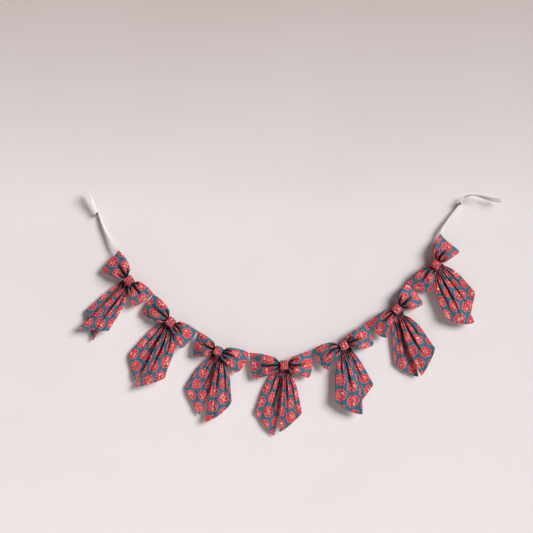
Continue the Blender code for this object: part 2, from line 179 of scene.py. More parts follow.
def make_nail(side, material):
    """A nail turned about its own axis: shank, collar under the head, and a flat head with a soft rim."""
    nail = NAILS[side]
    profile = [
        (0.0, NAIL_RADIUS), (NAIL_STAND - 2.4, NAIL_RADIUS), (NAIL_STAND - 1.1, NAIL_RADIUS * 1.2),
        (NAIL_STAND - 0.95, NAIL_HEAD_RADIUS - 0.15), (NAIL_STAND - 0.8, NAIL_HEAD_RADIUS),
        (NAIL_STAND - 0.3, NAIL_HEAD_RADIUS), (NAIL_STAND - 0.05, NAIL_HEAD_RADIUS - 0.3),
        (NAIL_STAND, NAIL_HEAD_RADIUS - 0.9),
    ]
    points = []
    for stand, radius in profile:
        for step in range(NAIL_SIDES):
            angle = 2 * math.pi * step / NAIL_SIDES
            across, up = nail.across + radius * math.cos(angle), nail.up + radius * math.sin(angle)
            points.append((across, up, stand))
    piece = new_piece(f"nail_steel_{side}", points, tube_faces(len(profile), NAIL_SIDES), material)
    piece.data.set_sharp_from_angle(angle=NAIL_SHARP_ANGLE)
    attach(piece, "root")
    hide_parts(f"nail_{side}")


steel = darkened_steel()
for side in NAILS:
    make_nail(side, steel)

# Tapes: undyed cotton tape 10 mm wide, sewn behind the outer corner of each end bow. Each runs up to
# its nail, twisting edge-on, goes once round the shank, and ends in a free end cut straight across.

TAPE_THICK = 0.7
TAPE_WIDE = 10
TAPE_WIDE_AT_NAIL = 7
TAPE_GAP = 0.45
TURN_STEPS = 36
TURN_STANDS = (4.6, 12.6)
TAPE_STEPS = 14
TAPE_THREAD = 0.55
TAPE_RIM = ((-1, 0), (-0.96, -0.8), (-0.5, -1), (0, -1), (0.5, -1), (0.96, -0.8),
            (1, 0), (0.96, 0.8), (0.5, 1), (0, 1), (-0.5, 1), (-0.96, 0.8))

# How a tape's two edges lift from its middle: the height of each wave, and its length over two pi
TAPE_WAVES = ((0.35, 9), (0.2, 3.7))

# Every cloth has a map of where its points lie on the flat cloth, in units of this many millimetres
CLOTH_MAP_UNIT = 100

# Stations along a tape: its middle, its stand-off, its width, and its turn, which is 0 where it faces
# out from the wall and 90 where it is edge-on
Station = namedtuple("Station", "across up stand wide turn")
TAPE_RUNS = {
    "left": [
        Station(47, -90, 13.2, TAPE_WIDE, 0),
        Station(42.5, -81.5, 13.8, TAPE_WIDE, 0),
        Station(35, -67, 13.0, TAPE_WIDE, 15),
        Station(23.5, -45, 10.0, 9.5, 30),
        Station(12, -23, 7.0, 8.5, 55),
    ],
    "right": [
        Station(754, -53, 13.4, TAPE_WIDE, 0),
        Station(754, -43, 14.0, TAPE_WIDE, 10),
        Station(759, -31, 13.0, 9.5, 45),
        Station(770, -14, 10.0, 9.0, 55),
        Station(783, 6, 7.0, 8.0, 75),
    ],
}
TAPE_ENDS = {
    "left": [
        Station(-5, 14, 15.0, 9.0, 40),
        Station(-10, 26, 18.0, TAPE_WIDE, 50),
        Station(-13, 38, 21.0, TAPE_WIDE, 75),
        Station(-19, 49, 24.0, TAPE_WIDE, 85),
    ],
    "right": [
        Station(802, 34, 15.0, 8.5, 60),
        Station(811, 39, 17.0, 9.0, 65),
        Station(823, 41, 19.0, TAPE_WIDE, 85),
        Station(841, 37, 20.0, TAPE_WIDE, 60),
        Station(862, 32, 20.0, TAPE_WIDE, 35),
        Station(884, 29, 19.0, TAPE_WIDE, 20),
    ],
}


def mix(a, b, share):
    return a + (b - a) * share


def eased(share):
    """0 to 1, leaving and arriving level."""
    share = np.clip(share, 0.0, 1.0)
    return share * share * (3 - 2 * share)


def vector_maths(tree, operation, a, b=(0, 0, 0), c=(0, 0, 0)):
    return put(tree, "VectorMath", a, b, c, operation=operation)


def weave_group():
    """Plain weave seen close: the height of its crossing threads, and slubs that vary their tone."""
    tree = bpy.data.node_groups.new("woven_threads", "ShaderNodeTree")
    face = tree.interface
    face.new_socket(name="Place", in_out="INPUT", socket_type="NodeSocketVector")
    face.new_socket(name="Thread", in_out="INPUT", socket_type="NodeSocketFloat")
    face.new_socket(name="Height", in_out="OUTPUT", socket_type="NodeSocketFloat")
    face.new_socket(name="Slubs", in_out="OUTPUT", socket_type="NodeSocketFloat")
    given = tree.nodes.new("NodeGroupInput")
    result = tree.nodes.new("NodeGroupOutput")
    axes = put(tree, "SeparateXYZ", given.outputs["Place"])
    turns = [maths(tree, "DIVIDE", maths(tree, "MULTIPLY", axes.outputs[i], math.pi), given.outputs["Thread"])
             for i in (0, 1)]
    warp, weft = [maths(tree, "SINE", turn) for turn in turns]
    over = maths(tree, "MULTIPLY", warp, weft)
    rounds = [maths(tree, "ABSOLUTE", wave) for wave in (warp, weft)]
    height = maths(tree, "MULTIPLY_ADD", maths(tree, "SUBTRACT", rounds[0], rounds[1]), over, 0.5)
    tree.links.new(height, result.inputs["Height"])
    tones = []
    for stretch in ((1.6, 0.14, 0), (0.14, 1.6, 0)):
        along = vector_maths(tree, "MULTIPLY", given.outputs["Place"], stretch).outputs[0]
        tones.append(noise(tree, along, 1.0, detail=3.0)[0])
    tree.links.new(maths(tree, "MULTIPLY", maths(tree, "ADD", *tones), 0.5), result.inputs["Slubs"])
    return tree


woven_threads = weave_group()


def flat_place(tree):
    """Where a point lies on the cloth as it was cut, in millimetres."""
    spot = put(tree, "UVMap", uv_map="cloth").outputs[0]
    return vector_maths(tree, "MULTIPLY", spot, (CLOTH_MAP_UNIT, CLOTH_MAP_UNIT, 0)).outputs[0]


def use_weave(tree, place, thread):
    group = put(tree, "Group", node_tree=woven_threads)
    tree.links.new(place, group.inputs["Place"])
    group.inputs["Thread"].default_value = thread
    return group.outputs["Height"], group.outputs["Slubs"]


def tape_finish():
    """Undyed cotton tape: a visible weave, a slightly darker edge on each side, and uneven greyish tone."""
    material, tree, shader = new_finish("undyed_cotton_tape")
    place = flat_place(tree)
    height, slubs = use_weave(tree, place, TAPE_THREAD)
    tone = blend_colour(tree, slubs, colour(204, 193, 190), colour(230, 221, 218))
    across = put(tree, "SeparateXYZ", place).outputs[0]
    near_edge = maths(tree, "ABSOLUTE", maths(tree, "SUBTRACT", across, TAPE_WIDE / 2))
    selvedge = maths(tree, "MULTIPLY_ADD", near_edge, 1.6, -6.6, clamp=True)
    tone = blend_colour(tree, selvedge, tone, colour(196, 184, 180))
    roughness = maths(tree, "MULTIPLY_ADD", slubs, 0.15, 0.8)
    dress(tree, shader, tone, roughness, relief(tree, height, 0.5, 0.0002))
    return material


def through(stations, steps):
    """Rows along a smooth curve through these stations, this many to each stretch."""
    rows = np.array([stations[0], *stations, stations[-1]], dtype=float)
    found = []
    for before, start, end, after in zip(rows, rows[1:], rows[2:], rows[3:]):
        for share in np.arange(steps) / steps:
            bend = (2 * before - 5 * start + 4 * end - after) * share**2
            bend += (3 * start - before - 3 * end + after) * share**3
            found.append(start + ((end - before) * share + bend) / 2)
    return found + [rows[-1]]


def make_tape(side, material):
    """A tape from its bow up to the nail, once round the shank, and on to its free end."""
    nail, run = NAILS[side], TAPE_RUNS[side]
    radius = NAIL_RADIUS + TAPE_GAP + TAPE_THICK / 2
    start = math.atan2(-(nail.across - run[-1].across), nail.up - run[-1].up)
    turn = []
    for share in np.arange(TURN_STEPS + 1) / TURN_STEPS:
        angle = start + 2 * math.pi * share
        stand = mix(*TURN_STANDS, eased(2 * share - 0.5))
        across, up = nail.across + radius * math.cos(angle), nail.up + radius * math.sin(angle)
        turn.append(np.array([across, up, stand, TAPE_WIDE_AT_NAIL, 90.0]))
    rising = through([*run, turn[0]], TAPE_STEPS)[:-1]
    free_end = through([turn[-1], *TAPE_ENDS[side]], TAPE_STEPS)[1:]
    path = np.array(rising + turn + free_end)
    middles = path[:, :2]
    ahead = np.gradient(middles, axis=0)
    ahead /= np.linalg.norm(ahead, axis=1)[:, None]
    sideways = np.column_stack([-ahead[:, 1], ahead[:, 0]])
    steps = np.linalg.norm(np.diff(path[:, :3], axis=0), axis=1)
    lengths = np.concatenate([[0], np.cumsum(steps)])
    points, flats = [], []
    for row, beside, length in zip(path, sideways, lengths):
        tilt = math.radians(row[4])
        wobble = sum(high * math.sin(length / long) for high, long in TAPE_WAVES)
        for edge, face in TAPE_RIM:
            wide = edge * row[3] / 2
            thick = face * TAPE_THICK / 2 + wobble * (edge * edge - 0.4)
            middle = row[:2] + beside * (wide * math.cos(tilt) - thick * math.sin(tilt))
            points.append((*middle, row[2] + wide * math.sin(tilt) + thick * math.cos(tilt)))
            flats.append(((edge + 1) / 2 * TAPE_WIDE / CLOTH_MAP_UNIT, length / CLOTH_MAP_UNIT))
    piece = new_piece(f"cotton_tape_{side}", points, tube_faces(len(path), len(TAPE_RIM)), material, flats)
    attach(piece, "root")
    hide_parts(f"tape_{side}")


tape_cotton = tape_finish()
for side in NAILS:
    make_tape(side, tape_cotton)

# Bow loops: each bow's body is a strip of printed cotton, two layers sewn round the edge and turned.
# It is pinched in the middle, where both layers fold together, and opens into a flat loop on each side.

STRIP_WIDE = 58
LAYERS_HALF_THICK = 0.7
SEAM_SWELL = 0.3
SEAM_IN = 2.4
SEAM_HALF_WIDE = 1.5
RIM = 1.3
RIM_FADE = 4
BOW_STAND = 18.5
PINCH_HALF_HIGH = 7.7
PINCH_HALF_DEEP = 5.4
KNOT_HALF_WIDE = 11
CORNER_STAND = 16
CORNER_GAP = 0.5
LOOP_LONG = 50
LOOP_STEPS = 48
ACROSS_STEPS = 76
LOOP_EDGE_EARLY = 0.8
PUFF_FULLER = 1.4
PUFF_EARLY = 0.75
PUFF_ENDS = 0.95
PUFF_END_FADE = 12
END_PUFF = 1.5
BACK_PUFF = 0.45
BACK_FOLDS = 0.4
LOOP_OPENS_BY = 0.3
LOOP_RIPPLE = 1.2
LOOP_SWAY = 0.8
PINCHED_LAYERS = 1.6
LOW_CORNER_ROUND = 4.5
UP_CORNER_REACH = 1.5
SHOULDER = 3.2
SHOULDER_REACH = 5.0
# The loops' painted shade is full at this fold depth
FULL_SHADE_DEPTH = 8.0
FOLD_WIDE_AT_KNOT = 0.17
FOLDS_WIDE_AT_END = (0.12, 0.1, 0.12)
FOLD_POINTED = 0.95
FOLDED_DEEP_TO = 0.4
CREASE_DEEPER = 4
# Painted shade in a dark line along each loop's crease: its strength and its half width
PAINTED_CREASE_SHADE = 0.45
PAINTED_CREASE_SHADE_HALF_WIDE = 1.5
CREASE_SWAY = 0.07
# Painted shade beside the knots: its strength and its reach, in millimetres
KNOT_SHADE = 0.2
KNOT_SHADE_REACH = 3.0
CLOTH_THREAD = 0.42

# Each strip is cut from the print a little further on than the one before it
LOOPS_CUT_ON_BY = Place(37, 11)

# The print, in millimetres: its half-drop step, the heart that joins a flower's lobes, the reach of the
# pale specks, and rings of petals: the lobes, and the outer and inner lines of the seams and the pale ring
FLOWER_STEP = Place(27.0, 15.8)
HEART_RADIUS = 10.6
SPECKS_REACH = 8.8
Petals = namedtuple("Petals", "count ring half_wide half_long sharpness")
LOBES = Petals(7, 8.3, 4.6, 4.7, 3.0)
SEAMS = Petals(7, 7.6, 4.2, 4.5, 4.0), Petals(7, 7.6, 3.0, 3.4, 4.0)
PALE_RING = Petals(5, 3.0, 2.4, 2.6, 4.0), Petals(5, 3.0, 1.5, 1.7, 4.0)

SEWN_CORNERS = [
    Place(48, -81), Place(124, -176), Place(221, -257), Place(335, -304),
    Place(469, -299), Place(590, -240), Place(679, -152), Place(751, -45),
]

# Each bow: its knot's centre, and from there the lower corners of its left and right loops
Bow = namedtuple("Bow", "across up left_low right_low")
BOWS = [
    Bow(70, -146, (-62, 22), (10, -59)),
    Bow(161, -237, (-64, 19), (23, -60)),
    Bow(265, -300, (-57, -11), (41, -50)),
    Bow(409, -331, (-65, -32), (58, -29)),
    Bow(539, -288, (-36, -56), (68, 0)),
    Bow(656, -209, (-24, -65), (60, 12)),
    Bow(740, -111, (-8, -60), (56, 29)),
]

# Each loop: its low corner's stand-off, how far its upper, lower and end edges bulge, its puff out from
# the wall, and its crease, with the place across the loop that it runs to, its depth and its reach
Loop = namedtuple(
    "Loop",
    "bow side low_stand top_bulge low_bulge end_bulge puff crease_to crease_deep crease_reach",
)
LOOPS = [
    Loop(1, "left", 15, 9.0, 3.0, 1.0, 4.5, 0.05, 5.5, 0.75),
    Loop(1, "right", 19, 6.5, 5.0, 2.0, 4.0, -0.10, 5.0, 0.80),
    Loop(2, "left", 12, 8.0, 5.5, 2.0, 4.0, 0.10, 4.5, 0.90),
    Loop(2, "right", 19, 5.5, 1.5, 2.0, 4.5, -0.15, 5.0, 0.60),
    Loop(3, "left", 14, 4.5, 5.5, 2.0, 4.0, 0.10, 4.5, 0.80),
    Loop(3, "right", 17, 5.5, 3.0, 4.0, 5.0, 0.05, 4.5, 0.70),
    Loop(4, "left", 15, 6.0, 3.5, 3.0, 5.0, -0.05, 5.0, 0.85),
    Loop(4, "right", 13, 4.0, 4.5, 2.5, 4.5, -0.05, 5.0, 0.75),
    Loop(5, "left", 18, 8.0, -1.0, 3.0, 5.0, -0.20, 4.5, 0.80),
    Loop(5, "right", 14, 5.0, 7.0, 2.0, 4.0, 0.10, 5.0, 0.70),
    Loop(6, "left", 18, 5.5, -2.5, 4.0, 4.5, 0.05, 5.0, 0.70),
    Loop(6, "right", 13, 8.5, 6.0, 1.5, 4.0, -0.10, 5.5, 0.80),
    Loop(7, "left", 13, 7.5, -3.0, 5.0, 4.0, 0.10, 5.0, 0.75),
    Loop(7, "right", 15, 10.0, 3.0, -1.5, 4.5, -0.10, 5.5, 0.80),
]


def flower_group():
    """The print: round block-printed flowers in a half-drop repeat, on a plain ground.

    Each flower has seven broad lobes with pale seams and outlines, darker blotches, pale specks and veins.
    """
    tree = bpy.data.node_groups.new("block_printed_flowers", "ShaderNodeTree")
    face = tree.interface
    face.new_socket(name="Place", in_out="INPUT", socket_type="NodeSocketVector")
    for name in ("Ground", "Petal", "Deep", "Pale"):
        face.new_socket(name=name, in_out="INPUT", socket_type="NodeSocketColor")
    face.new_socket(name="Color", in_out="OUTPUT", socket_type="NodeSocketColor")
    given = tree.nodes.new("NodeGroupInput")
    result = tree.nodes.new("NodeGroupOutput")
    half = (FLOWER_STEP.across, FLOWER_STEP.up, 0.5)
    low = tuple(-size for size in half)
    wander = noise(tree, given.outputs["Place"], 0.16)["Color"]
    shift = vector_maths(tree, "MULTIPLY_ADD", wander, (2.2, 2.2, 0), (-1.1, -1.1, 0)).outputs[0]
    place = vector_maths(tree, "ADD", given.outputs["Place"], shift).outputs[0]
    halves = []
    for offset in ((0, 0, 0), (*FLOWER_STEP, 0)):
        moved = vector_maths(tree, "ADD", place, offset).outputs[0]
        spot = vector_maths(tree, "WRAP", moved, half, low).outputs[0]
        spot = vector_maths(tree, "MULTIPLY", spot, (1, 1, 0)).outputs[0]
        halves.append((spot, vector_maths(tree, "LENGTH", spot).outputs["Value"]))
    (first, first_far), (second, second_far) = halves
    nearer = maths(tree, "LESS_THAN", second_far, first_far)
    pick = tree.nodes.new("ShaderNodeMix")
    pick.data_type = "VECTOR"
    sockets = {socket.identifier: socket for socket in pick.inputs}
    tree.links.new(nearer, sockets["Factor_Float"])
    tree.links.new(first, sockets["A_Vector"])
    tree.links.new(second, sockets["B_Vector"])
    local = next(s for s in pick.outputs if s.identifier == "Result_Vector")
    centre = vector_maths(tree, "SUBTRACT", place, local).outputs[0]
    centre = vector_maths(tree, "ADD", centre, (2.3, 2.3, 0)).outputs[0]
    centre = vector_maths(tree, "SNAP", centre, (5, 5, 5)).outputs[0]
    chance = put(tree, "TexWhiteNoise", centre, noise_dimensions="3D").outputs["Value"]
    parts = put(tree, "SeparateXYZ", local)
    angle = maths(tree, "ARCTAN2", parts.outputs[1], parts.outputs[0])
    angle = maths(tree, "MULTIPLY_ADD", chance, 6.28, angle)
    far = vector_maths(tree, "LENGTH", local).outputs["Value"]

    def petals(count, ring, half_wide, half_long, sharpness):
        """A mask of round petals set in a ring."""
        turn = maths(tree, "WRAP", maths(tree, "MULTIPLY", angle, count / (2 * math.pi)), 0.5, -0.5)
        aside = maths(tree, "MULTIPLY", maths(tree, "MULTIPLY", turn, 2 * math.pi / count / half_wide), far)
        along = maths(tree, "DIVIDE", maths(tree, "SUBTRACT", far, ring), half_long)
        squares = [maths(tree, "POWER", maths(tree, "ABSOLUTE", part), 2.0) for part in (aside, along)]
        size = maths(tree, "SQRT", maths(tree, "ADD", *squares))
        return maths(tree, "MULTIPLY_ADD", size, -sharpness, 0.5 + sharpness, clamp=True)

    def line_between(outer, inner):
        """A mask of the line between two such rings of petals."""
        return maths(tree, "SUBTRACT", petals(*outer), petals(*inner), clamp=True)

    blotches = noise(tree, given.outputs["Place"], 0.3, detail=3.0)[0]
    inward = maths(tree, "MULTIPLY_ADD", far, -0.1, 0.75)
    shade = maths(tree, "MULTIPLY_ADD", blotches, 5.0, -2.25)
    shade = maths(tree, "ADD", shade, inward, clamp=True)
    petal_tone = blend_colour(tree, shade, given.outputs["Petal"], given.outputs["Deep"])
    heart = maths(tree, "MULTIPLY_ADD", far, -1.0, HEART_RADIUS, clamp=True)
    lobes = maths(tree, "MAXIMUM", petals(*LOBES), heart)
    tone = blend_colour(tree, lobes, given.outputs["Ground"], petal_tone)
    outline = maths(tree, "MULTIPLY", lobes, maths(tree, "SUBTRACT", 1.0, lobes))
    tone = blend_colour(tree, outline, tone, given.outputs["Pale"])
    seams = maths(tree, "MULTIPLY_ADD", far, -0.7, 7.0, clamp=True)
    seams = maths(tree, "MULTIPLY", line_between(*SEAMS), seams)
    pale = maths(tree, "MAXIMUM", seams, line_between(*PALE_RING))
    tone = blend_colour(tree, maths(tree, "MULTIPLY", pale, 0.22), tone, given.outputs["Pale"])
    cells = put(tree, "TexVoronoi", given.outputs["Place"])
    cells.inputs["Scale"].default_value = 0.24
    near = maths(tree, "MULTIPLY_ADD", far, -1.0, SPECKS_REACH, clamp=True)
    specks = maths(tree, "MULTIPLY_ADD", cells.outputs["Distance"], -9.0, 3.2, clamp=True)
    specks = maths(tree, "MULTIPLY", specks, near)
    curls = noise(tree, given.outputs["Place"], 0.3, detail=1.0, distortion=1.2)[0]
    from_curl = maths(tree, "ABSOLUTE", maths(tree, "SUBTRACT", curls, 0.5))
    veins = maths(tree, "MULTIPLY", maths(tree, "MULTIPLY_ADD", from_curl, -60.0, 1.1, clamp=True), near)
    pale = maths(tree, "MAXIMUM", maths(tree, "MULTIPLY", specks, 0.95), maths(tree, "MULTIPLY", veins, 0.3))
    tone = blend_colour(tree, pale, tone, given.outputs["Pale"])
    tree.links.new(tone, result.inputs["Color"])
    return tree


printed_flowers = flower_group()


def cloth_finish():
    """Printed cotton: flowers on teal, faded unevenly, with the slubs and the relief of a plain weave.

    Its colour is darkened by painted shade where little light comes in: in its folds, along its creases,
    beside the knots and inside the knot bands; and it crumples softly all over.
    """
    material, tree, shader = new_finish("printed_cotton_cloth")
    place = flat_place(tree)
    height, slubs = use_weave(tree, place, CLOTH_THREAD)
    uneven = maths(tree, "MULTIPLY_ADD", slubs, 2.4, -0.7, clamp=True)
    group = put(tree, "Group", node_tree=printed_flowers)
    tree.links.new(place, group.inputs["Place"])
    ground = blend_colour(tree, uneven, colour(26, 72, 88), colour(74, 124, 142))
    tree.links.new(ground, group.inputs["Ground"])
    group.inputs["Petal"].default_value = colour(228, 42, 56)
    group.inputs["Deep"].default_value = colour(136, 8, 28)
    group.inputs["Pale"].default_value = colour(255, 212, 208)
    fade = noise(tree, place, 0.5, detail=4.0)[0]
    worn = maths(tree, "MULTIPLY_ADD", fade, 0.3, -0.14, clamp=True)
    tone = blend_colour(tree, worn, group.outputs["Color"], colour(196, 176, 178))
    # Painted shade: each piece carries how far its colour is darkened, and the tone is mixed that far towards
    # near-black
    deep = put(tree, "Attribute", attribute_name="painted_fold_shade").outputs["Fac"]
    shade = maths(tree, "MULTIPLY", maths(tree, "POWER", deep, 0.9), 0.95, clamp=True)
    tone = blend_colour(tree, shade, tone, colour(16, 18, 22))
    crumple = noise(tree, place, 0.11, detail=3.0, distortion=0.8)[0]
    creased = relief(tree, crumple, 0.6, 0.003)
    woven = relief(tree, height, 0.05, 0.00015, under=creased)
    dress(tree, shader, tone, maths(tree, "MULTIPLY_ADD", slubs, 0.2, 0.72), woven)
    shader.inputs["Specular IOR Level"].default_value = 0.2
    return material


def rim_steps(count, length):
    """Shares of a length, with close steps beside both ends so that the rims come out round."""
    near = np.array([0, 0.2, 0.5, 0.9, RIM, 2.2]) / length
    return np.concatenate([near[:-1], np.linspace(near[-1], 1 - near[-1], count), 1 - near[-2::-1]])


def rim_thickness(from_edge):
    """Half the thickness of the two layers at this distance from an edge, with the seam's swell inside it."""
    inside = np.clip(from_edge / RIM, 0, 1)
    swell = SEAM_SWELL * np.exp(-(((from_edge - SEAM_IN) / SEAM_HALF_WIDE) ** 2))
    return LAYERS_HALF_THICK * np.sqrt(1 - (1 - inside) ** 2) + swell * inside


def pillow_piece(name, front, back, flats, painted_shades, material):
    """Two layers that share their rim, from grids of points, flat places and painted fold shade [along,
    across].
    """
    rows, columns = front.shape[:2]
    inner = np.full((rows, columns), -1)
    inner[1:-1, 1:-1] = rows * columns + np.arange((rows - 2) * (columns - 2)).reshape(rows - 2, columns - 2)
    outer = np.arange(rows * columns).reshape(rows, columns)
    inner = np.where(inner < 0, outer, inner)
    points = np.concatenate([front.reshape(-1, 3), back[1:-1, 1:-1].reshape(-1, 3)])
    places = np.concatenate([flats.reshape(-1, 2), flats[1:-1, 1:-1].reshape(-1, 2)])
    # Painted shade for the front's points and then the back's
    deeps = np.concatenate([painted_shades.ravel(), painted_shades[1:-1, 1:-1].ravel()])
    faces = []
    for grid, turned in ((outer, False), (inner, True)):
        quads = np.stack([grid[:-1, :-1], grid[1:, :-1], grid[1:, 1:], grid[:-1, 1:]], axis=-1).reshape(-1, 4)
        faces += (quads[:, ::-1] if turned else quads).tolist()
    return new_piece(name, points, faces, material, places, deeps)


def turned_left(direction):
    return np.array([-direction[1], direction[0]])


def unit(direction):
    return np.asarray(direction, dtype=float) / np.linalg.norm(direction)


def bow_axes(number):
    """A bow's knot, its direction along the bow and the one across it, and its four corners on the wall."""
    bow = BOWS[number]
    knot = np.array([bow.across, bow.up], dtype=float)
    ahead = unit(np.array(BOWS[min(number + 1, len(BOWS) - 1)][:2]) - np.array(BOWS[max(number - 1, 0)][:2]))
    left_up = np.array(SEWN_CORNERS[number]) + ahead * CORNER_GAP / 2
    right_up = np.array(SEWN_CORNERS[number + 1]) - ahead * CORNER_GAP / 2
    left_low, right_low = knot + bow.left_low, knot + bow.right_low
    along = unit(right_up + right_low - left_up - left_low)
    return knot, along, turned_left(along), {"left": (left_up, left_low), "right": (right_up, right_low)}


def ripples(places, share, seed, counts, slants):
    """Uneven ripples over the cloth, from -1 to 1: so many across it, each drifting sideways by its slant."""
    draw = np.random.default_rng(seed)
    total = 0
    for count, slant in zip(counts, slants):
        total = total + np.sin(2 * math.pi * (count * places + slant * share + draw.uniform()))
    return total / len(counts)


def even_bow(share):
    """0 at both ends and 1 halfway."""
    return 4 * share * (1 - share)


def end_rounding(places, low_round, up_round):
    """How far the end of the cloth draws back towards its two corners, in millimetres."""
    heights = 2 * places - 1
    return np.where(heights < 0, low_round, up_round) * heights**8


def loop_row(number, loop, share, places):
    """One line up a loop, at this share of the way from the knot to its end: front, back, painted shade."""
    knot, along, across, corners = bow_axes(number)
    outward = along if loop.side == "right" else -along
    up_corner, low_corner = corners[loop.side]
    pinch = knot + outward * KNOT_HALF_WIDE
    edge_bow = math.sin(math.pi * share**LOOP_EDGE_EARLY)
    from_pinch = share * LOOP_LONG / SHOULDER_REACH
    shoulder = SHOULDER * from_pinch * math.exp(1 - from_pinch)
    top_out, low_out = loop.top_bulge * edge_bow + shoulder, loop.low_bulge * edge_bow + shoulder
    top = mix(pinch + across * PINCH_HALF_HIGH, up_corner, share) + across * top_out
    low = mix(pinch - across * PINCH_HALF_HIGH, low_corner, share) - across * low_out
    end_out = turned_left(unit(low - top))
    if end_out @ outward < 0:
        end_out = -end_out
    reach_out = loop.end_bulge * even_bow(places) * share**2
    reach_out -= end_rounding(places, LOW_CORNER_ROUND, -UP_CORNER_REACH) * share**3
    flat = low + (top - low) * places[:, None] + end_out * reach_out[:, None]
    heights = 2 * places - 1
    seed = 10 * loop.bow + (loop.side == "right")
    draw = np.random.default_rng(seed)
    crease = mix(0.0, loop.crease_to, share) + CREASE_SWAY * math.sin(6 * share + seed) * min(share / 0.2, 1)
    marks = (draw.uniform(-0.66, -0.54), crease, draw.uniform(0.52, 0.64))
    reaches = (draw.uniform(0.25, 0.5), loop.crease_reach, draw.uniform(0.25, 0.5))
    shape = np.zeros_like(places)
    for mark, reach, wide_at_end in zip(marks, reaches, FOLDS_WIDE_AT_END):
        fading = 1 - min(share / reach, 1.0) ** 2
        wide = mix(FOLD_WIDE_AT_KNOT, wide_at_end, share**0.6)
        shape += fading * np.exp(-(np.abs((heights - mark) / wide) ** FOLD_POINTED))
    deepest = 2 * PINCH_HALF_DEEP - PINCHED_LAYERS
    depth = mix(deepest, loop.crease_deep + CREASE_DEEPER, eased(share / FOLDED_DEEP_TO))
    open_share = eased(share / LOOP_OPENS_BY)
    swell = PUFF_FULLER * loop.puff * math.sin(math.pi * min(share / PUFF_ENDS, 1.0) ** PUFF_EARLY)
    ripple = LOOP_RIPPLE * ripples(places, share, seed, (3, 5, 2), (0.6, -0.8, 1.3))
    ripple = ripple * (1 - 0.6 * share) * open_share
    sway = LOOP_SWAY * math.sin(3.3 * share + seed) * share * (1 - share) * (1 - heights**2)
    edge_stand = mix(loop.low_stand, CORNER_STAND, places)
    stand = mix(BOW_STAND + depth / 2, edge_stand, eased(share)) + sway
    from_edge = np.minimum(places, 1 - places) * STRIP_WIDE
    from_end = np.full_like(places, (1 - share) * LOOP_LONG)
    thick = rim_thickness(np.minimum(from_edge, from_end))
    off_end = np.clip(from_end / RIM_FADE, 0, 1)
    inside = np.clip(from_edge / RIM_FADE, 0, 1) * off_end
    puff = (swell + END_PUFF * share) * np.sqrt(np.clip(1 - heights**4, 0, 1))
    puff = puff * np.sqrt(np.clip(from_end / PUFF_END_FADE, 0, 1))
    folds = depth * shape * mix(1, off_end, open_share)
    front = stand + thick + puff + ripple * inside - folds
    back = stand - thick - BACK_PUFF * puff - folds * mix(1, BACK_FOLDS, open_share)
    back = np.minimum(back, front - 2 * thick)
    # Painted shade: the colour darkens with the depth of the folds, in a dark line along the crease, and
    # beside the knot
    from_crease = np.abs(heights - crease) * np.linalg.norm(top - low) / 2
    painted_crease_line = PAINTED_CREASE_SHADE * (1 - min(share / loop.crease_reach, 1.0) ** 3)
    painted_crease_line = painted_crease_line * np.exp(-((from_crease / PAINTED_CREASE_SHADE_HALF_WIDE) ** 2))
    knot_shade = KNOT_SHADE * math.exp(-share * LOOP_LONG / KNOT_SHADE_REACH)
    deep = folds / FULL_SHADE_DEPTH + painted_crease_line + knot_shade
    return np.column_stack([flat, front]), np.column_stack([flat, back]), deep


def make_loops(number, material):
    """A bow's whole strip, from the end of its left loop to the end of its right one."""
    left, right = [loop for loop in LOOPS if loop.bow == number + 1]
    places = rim_steps(ACROSS_STEPS, STRIP_WIDE)
    shares = rim_steps(LOOP_STEPS, LOOP_LONG)
    shares = np.concatenate([[0.0], shares[shares >= 0.03]])
    rows = [loop_row(number, left, share, places) for share in shares[::-1]]
    rows += [loop_row(number, right, share, places) for share in shares]
    along = np.concatenate([-KNOT_HALF_WIDE - shares[::-1] * LOOP_LONG, KNOT_HALF_WIDE + shares * LOOP_LONG])
    flats = np.empty((len(rows), len(places), 2))
    flats[:, :, 0] = (along[:, None] + LOOPS_CUT_ON_BY.across * number) / CLOTH_MAP_UNIT
    flats[:, :, 1] = (places * STRIP_WIDE + LOOPS_CUT_ON_BY.up * number)[None, :] / CLOTH_MAP_UNIT
    front, back, deeps = (np.array(grid) for grid in zip(*rows))
    piece = pillow_piece(f"printed_loops_{number + 1}", front, back, flats, deeps, material)
    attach(piece, "root")
    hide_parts(f"bow_{number + 1}_loops")


printed_cotton = cloth_finish()
for number in range(len(BOWS)):
    make_loops(number, printed_cotton)

# Tails: one strip of the same cotton behind each knot, its ends cut at a slant. Its middle is gathered
# into a small arch and stitched to the back of the knot, so both ends hang down in deep folds.

TAIL_SHORT_EDGE = 100
TAIL_LONG_EDGE = 140
TAIL_STEPS = 62
ARCH_STEPS = 18
ARCH_RISE = 13
ARCH_LONG = 26
NECK_HALF_WIDE = 5.6
# The tails' painted shade is full at this fold depth
TAIL_FULL_SHADE_DEPTH = 5.2
DEEPEST_FOLD = 9.0
SHALLOWEST_FOLD = 5.8
REAR_FOLDS = 0.67
MINOR_FOLD = 0.6
MINOR_FOLDS_END = 0.3
FOLDS_FADE_LATE = 2.6
FOLDS_LEFT = 0.15
FOLDS_SOFTEN_BY = 0.8
A_FOLD_LIGHTER = 0.7
BILLOW = 4.0
REAR_BILLOW = 1.2
TAIL_RIPPLE = 0.7
TAIL_WAVE = 1.8
END_ROUND = 2.0
INNER_EDGE_EARLY = 0.5
REAR_STAND = 8.8
FRONT_STAND = 19
FRONT_RISE_BY = 0.12
TAILS_CUT_ON_BY = Place(17, 29)

